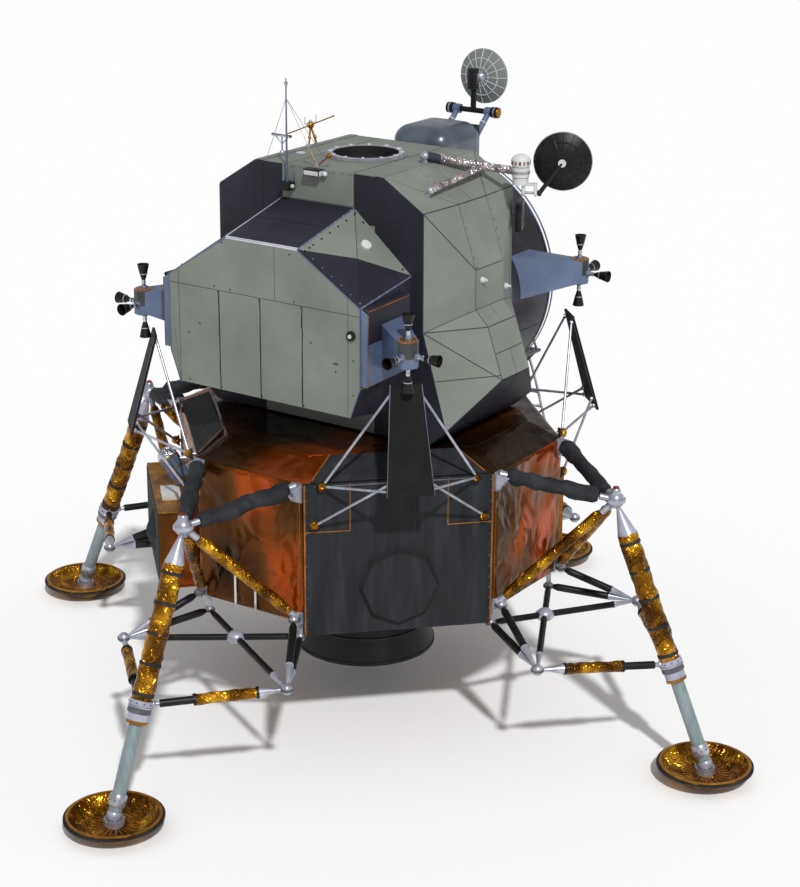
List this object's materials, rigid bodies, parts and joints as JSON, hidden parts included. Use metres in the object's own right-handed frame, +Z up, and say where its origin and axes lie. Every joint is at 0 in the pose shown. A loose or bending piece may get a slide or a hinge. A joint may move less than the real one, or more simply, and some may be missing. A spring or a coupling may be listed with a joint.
{
  "type": "lunar landing vehicle",
  "caption": "Two-stage crewed lunar lander with foil-wrapped descent stage, braced leg gear with dish pads, a faceted cabin, thruster clusters, hatches and dish antennas.",
  "frame": {"origin": "on the ground under the centre of the docking tunnel, midway between the four footpads", "axes": "+X forward to the ladder leg and the forward hatch, +Y to port, +Z up"},
  "size_m": [9.424, 9.424, 6.83],
  "materials": {
    "amber_foil": "crinkled satin",
    "brown_foil": "crinkled satin",
    "charcoal_skin": "matt",
    "dark_skin": "satin",
    "light_skin": "satin",
    "blue_grey_skin": "satin",
    "gold_foil": "crinkled satin",
    "grey_blanket": "matt",
    "black_tube": "satin",
    "fitting": "satin",
    "pad_skin": "satin",
    "engine_metal": "matt",
    "frame_metal": "matt",
    "pane": "clear",
    "white_paint": "matt",
    "gold_paint": "satin"
  },
  "bodies": {
    "vehicle": {"descent_body": "amber_foil", "stage_cover": "brown_foil", "aft_starboard_panel": "charcoal_skin", "forward_port_panel": "charcoal_skin", "equipment_bay": "charcoal_skin", "pallet_hinge": "fitting", "fuel_cask": "fitting", "interstage_posts": "fitting", "engine_mount": "frame_metal", "upper_outriggers": "grey_blanket", "lower_outriggers": "gold_foil", "gear_brackets": "fitting", "gear_trusses": "black_tube", "front_main_strut": "gold_foil", "port_main_strut": "gold_foil", "aft_main_strut": "gold_foil", "starboard_main_strut": "gold_foil", "side_struts": "gold_foil", "front_footpad": "pad_skin", "port_footpad": "pad_skin", "aft_footpad": "pad_skin", "starboard_footpad": "pad_skin", "ladder": "fitting", "porch": "frame_metal", "deflector_plates": "charcoal_skin", "deflector_frames": "fitting", "midsection": "dark_skin", "port_tank_bay": "light_skin", "starboard_tank_bay": "light_skin", "aft_equipment_bay": "light_skin", "ascent_engine": "frame_metal", "cabin_drum": "dark_skin", "front_face": "dark_skin", "cabin_floor": "frame_metal", "window_panes": "pane", "docking_ring": "fitting", "cluster_fairings": "blue_grey_skin", "front_port_thrusters": "charcoal_skin", "front_starboard_thrusters": "charcoal_skin", "aft_port_thrusters": "charcoal_skin", "aft_starboard_thrusters": "charcoal_skin", "radar_fairing": "blue_grey_skin", "radar_arms": "blue_grey_skin", "steerable_boom": "fitting", "whip_antenna": "fitting", "tee_antenna": "fitting", "tripod_antenna": "gold_paint", "deck_fittings": "charcoal_skin"},
    "front_hatch": {"front_hatch": "gold_foil"},
    "overhead_hatch": {"overhead_hatch": "frame_metal"},
    "tool_pallet": {"tool_pallet": "gold_foil"},
    "gimbal_ring": {"gimbal_ring": "frame_metal"},
    "descent_engine": {"descent_engine": "engine_metal"},
    "radar_shaft": {"radar_shaft": "gold_paint"},
    "radar_dish": {"radar_dish": "charcoal_skin"},
    "steerable_yoke": {"steerable_yoke": "white_paint"},
    "steerable_dish": {"steerable_dish": "charcoal_skin"}
  },
  "joints": [
    {"name": "front_hatch_hinge", "type": "hinge", "parent": "vehicle", "child": "front_hatch", "pos_m": [1.814, -0.437, 3.745], "axis": [0, 0, 1], "range_deg": [0, 90]},
    {"name": "overhead_hatch_hinge", "type": "hinge", "parent": "vehicle", "child": "overhead_hatch", "pos_m": [-0.4, 0, 5.8665], "axis": [0, 1, 0], "range_deg": [0, 90]},
    {"name": "tool_pallet_hinge", "type": "hinge", "parent": "vehicle", "child": "tool_pallet", "pos_m": [1.38037, -1.38037, 1.634], "axis": [0.7071, 0.7071, 0], "range_deg": [0, 90]},
    {"name": "gimbal_outer", "type": "hinge", "parent": "vehicle", "child": "gimbal_ring", "pos_m": [0, 0, 2.3], "axis": [0, 1, 0], "range_deg": [-6, 6]},
    {"name": "gimbal_inner", "type": "hinge", "parent": "gimbal_ring", "child": "descent_engine", "pos_m": [0, 0, 2.3], "axis": [1, 0, 0], "range_deg": [-6, 6]},
    {"name": "radar_shaft_axis", "type": "hinge", "parent": "vehicle", "child": "radar_shaft", "pos_m": [2.083, 0, 6.123], "axis": [0, 1, 0], "range_deg": [-45, 60]},
    {"name": "radar_trunnion", "type": "hinge", "parent": "radar_shaft", "child": "radar_dish", "pos_m": [2.083, 0, 6.475], "axis": [0, 0, 1], "range_deg": [-55, 55]},
    {"name": "steerable_azimuth", "type": "hinge", "parent": "vehicle", "child": "steerable_yoke", "pos_m": [0.5, -1.575, 5.88], "axis": [0, 0, 1], "range_deg": [-60, 60]},
    {"name": "steerable_elevation", "type": "hinge", "parent": "steerable_yoke", "child": "steerable_dish", "pos_m": [0.54165, -1.66038, 5.665], "axis": [0.4384, -0.8988, 0], "range_deg": [-15, 75]}
  ]
}
